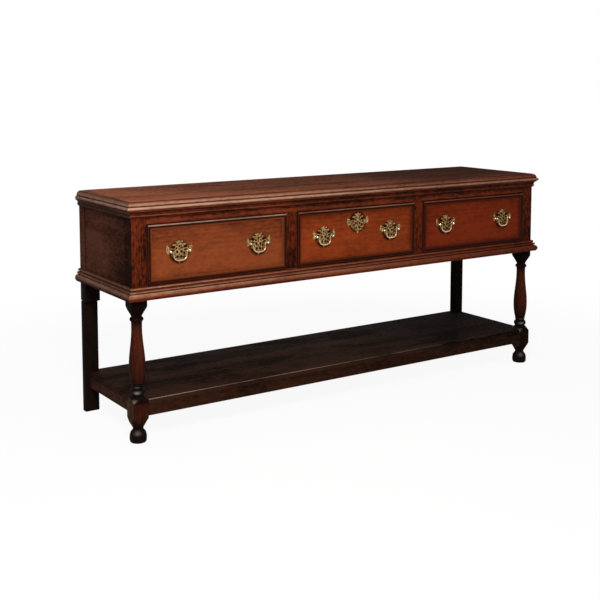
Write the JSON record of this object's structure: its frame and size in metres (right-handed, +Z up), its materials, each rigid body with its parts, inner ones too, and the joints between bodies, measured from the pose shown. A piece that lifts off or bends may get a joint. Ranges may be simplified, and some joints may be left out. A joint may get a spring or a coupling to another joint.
{
  "type": "dresser base",
  "caption": "Long oak dresser base: a row of drawers with brass bail pulls, turned front legs, plain rear legs and a low pot board for crocks and baskets.",
  "frame": {"origin": "on the floor, under the middle of the bounding box", "axes": "+X along the length, towards the right as seen from the front; -Y out of the drawer fronts; +Z up"},
  "size_m": [1.942, 0.476, 0.8368],
  "materials": {
    "frame_oak": "waxed, red-brown",
    "dark_oak": "waxed, nearly black",
    "top_oak": "waxed, worn",
    "moulding_oak": "waxed",
    "field_oak": "waxed, orange-brown",
    "lining_oak": "dry, unpolished",
    "aged_brass": "aged, rubbed",
    "lock_iron": "dull, browned"
  },
  "bodies": {
    "carcass": {"back_panel": "lining_oak", "bottom_rail": "frame_oak", "cove_moulding_front": "moulding_oak", "cove_moulding_left": "moulding_oak", "cove_moulding_right": "moulding_oak", "end_panel_left": "dark_oak", "end_panel_right": "dark_oak", "end_runner_left": "lining_oak", "end_runner_right": "lining_oak", "front_leg_left": "dark_oak", "front_leg_right": "dark_oak", "muntin_left": "frame_oak", "muntin_right": "frame_oak", "muntin_runner_left": "lining_oak", "muntin_runner_right": "lining_oak", "pot_board": "dark_oak", "pot_rail_front": "dark_oak", "pot_rail_left": "dark_oak", "pot_rail_rear": "dark_oak", "pot_rail_right": "dark_oak", "rear_leg_left": "dark_oak", "rear_leg_right": "dark_oak", "rear_rail": "lining_oak", "top_board": "top_oak", "top_rail": "frame_oak", "waist_moulding_front": "moulding_oak", "waist_moulding_left": "moulding_oak", "waist_moulding_right": "moulding_oak"},
    "left_drawer": {"left_drawer_front": "field_oak", "left_drawer_moulding": "moulding_oak", "left_drawer_side_left": "lining_oak", "left_drawer_side_right": "lining_oak", "left_drawer_back": "lining_oak", "left_drawer_bottom": "lining_oak", "pull_plate_left_left": "aged_brass", "pull_plate_left_right": "aged_brass"},
    "middle_drawer": {"middle_drawer_front": "field_oak", "middle_drawer_moulding": "moulding_oak", "middle_drawer_side_left": "lining_oak", "middle_drawer_side_right": "lining_oak", "middle_drawer_back": "lining_oak", "middle_drawer_bottom": "lining_oak", "pull_plate_middle_left": "aged_brass", "pull_plate_middle_right": "aged_brass", "escutcheon": "aged_brass", "drawer_lock": "lock_iron"},
    "right_drawer": {"right_drawer_front": "field_oak", "right_drawer_moulding": "moulding_oak", "right_drawer_side_left": "lining_oak", "right_drawer_side_right": "lining_oak", "right_drawer_back": "lining_oak", "right_drawer_bottom": "lining_oak", "pull_plate_right_left": "aged_brass", "pull_plate_right_right": "aged_brass"},
    "left_drawer_left_bail": {"bail_left_left": "aged_brass"},
    "left_drawer_right_bail": {"bail_left_right": "aged_brass"},
    "middle_drawer_left_bail": {"bail_middle_left": "aged_brass"},
    "middle_drawer_right_bail": {"bail_middle_right": "aged_brass"},
    "right_drawer_left_bail": {"bail_right_left": "aged_brass"},
    "right_drawer_right_bail": {"bail_right_right": "aged_brass"}
  },
  "joints": [
    {"name": "left_drawer_slide", "type": "slide", "parent": "carcass", "child": "left_drawer", "axis": [0, -1, 0], "range_m": [0, 0.32]},
    {"name": "middle_drawer_slide", "type": "slide", "parent": "carcass", "child": "middle_drawer", "axis": [0, -1, 0], "range_m": [0, 0.32]},
    {"name": "right_drawer_slide", "type": "slide", "parent": "carcass", "child": "right_drawer", "axis": [0, -1, 0], "range_m": [0, 0.32]},
    {"name": "left_drawer_left_bail_swing", "type": "hinge", "parent": "left_drawer", "child": "left_drawer_left_bail", "pos_m": [-0.77, -0.2263, 0.656], "axis": [-1, 0, 0], "range_deg": [-8, 165]},
    {"name": "left_drawer_right_bail_swing", "type": "hinge", "parent": "left_drawer", "child": "left_drawer_right_bail", "pos_m": [-0.45, -0.2263, 0.656], "axis": [-1, 0, 0], "range_deg": [-8, 165]},
    {"name": "middle_drawer_left_bail_swing", "type": "hinge", "parent": "middle_drawer", "child": "middle_drawer_left_bail", "pos_m": [-0.16, -0.2263, 0.656], "axis": [-1, 0, 0], "range_deg": [-8, 165]},
    {"name": "middle_drawer_right_bail_swing", "type": "hinge", "parent": "middle_drawer", "child": "middle_drawer_right_bail", "pos_m": [0.16, -0.2263, 0.656], "axis": [-1, 0, 0], "range_deg": [-8, 165]},
    {"name": "right_drawer_left_bail_swing", "type": "hinge", "parent": "right_drawer", "child": "right_drawer_left_bail", "pos_m": [0.45, -0.2263, 0.656], "axis": [-1, 0, 0], "range_deg": [-8, 165]},
    {"name": "right_drawer_right_bail_swing", "type": "hinge", "parent": "right_drawer", "child": "right_drawer_right_bail", "pos_m": [0.77, -0.2263, 0.656], "axis": [-1, 0, 0], "range_deg": [-8, 165]}
  ]
}
